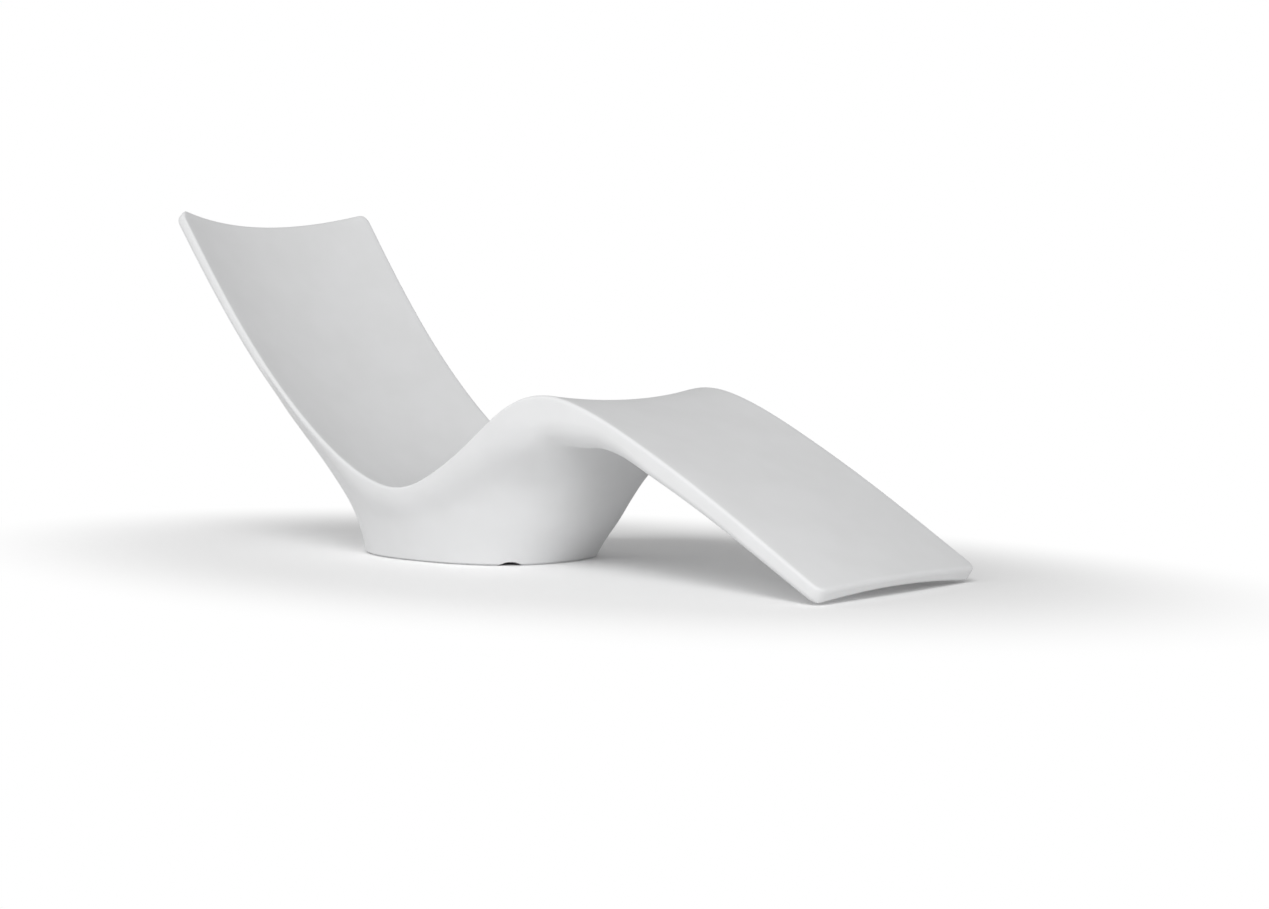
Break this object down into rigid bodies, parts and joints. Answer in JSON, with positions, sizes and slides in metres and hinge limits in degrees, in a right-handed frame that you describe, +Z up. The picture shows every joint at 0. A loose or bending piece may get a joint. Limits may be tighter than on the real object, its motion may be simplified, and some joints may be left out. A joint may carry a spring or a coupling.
{
  "type": "in-pool sun lounger",
  "caption": "Low chaise for a shallow pool ledge: one curved hollow shell on an oval pedestal, flooded for ballast through screw-capped ports.",
  "frame": {"origin": "centre of the pedestal's flat base, on the floor", "axes": "+X towards the feet, +Y to the sitter's left, +Z up"},
  "size_m": [1.9807, 0.6112, 0.8025],
  "materials": {
    "shell_white": "satin moulded polyethylene",
    "cap_white": "injection moulded",
    "bush_grey": "injection moulded nylon",
    "seal_black": "smooth"
  },
  "bodies": {
    "shell": {"lounger_shell": "shell_white", "fill_bush": "bush_grey", "drain_bush": "bush_grey"},
    "fill_ring": {"fill_seal": "seal_black"},
    "fill_screw": {"fill_cap": "cap_white"},
    "drain_ring": {"drain_seal": "seal_black"},
    "drain_screw": {"drain_cap": "cap_white"}
  },
  "joints": [
    {"name": "fill_cap_travel", "type": "slide", "parent": "shell", "child": "fill_ring", "axis": [-0.8419, 0, -0.5396], "range_m": [0, 0.022]},
    {"name": "fill_cap_turn", "type": "hinge", "parent": "fill_ring", "child": "fill_screw", "pos_m": [-0.37507, 0, 0.18947], "axis": [-0.8419, 0, -0.5396], "range_deg": [0, 1982]},
    {"name": "drain_cap_travel", "type": "slide", "parent": "shell", "child": "drain_ring", "axis": [-0.9723, 0, -0.2338], "range_m": [0, 0.022]},
    {"name": "drain_cap_turn", "type": "hinge", "parent": "drain_ring", "child": "drain_screw", "pos_m": [-0.29359, 0, 0.05266], "axis": [-0.9723, 0, -0.2338], "range_deg": [0, 1982]}
  ],
  "couplings": [
    {"joint": "fill_cap_turn", "follows": "fill_cap_travel", "rad_per_m": 1570.8},
    {"joint": "drain_cap_turn", "follows": "drain_cap_travel", "rad_per_m": 1570.8}
  ]
}
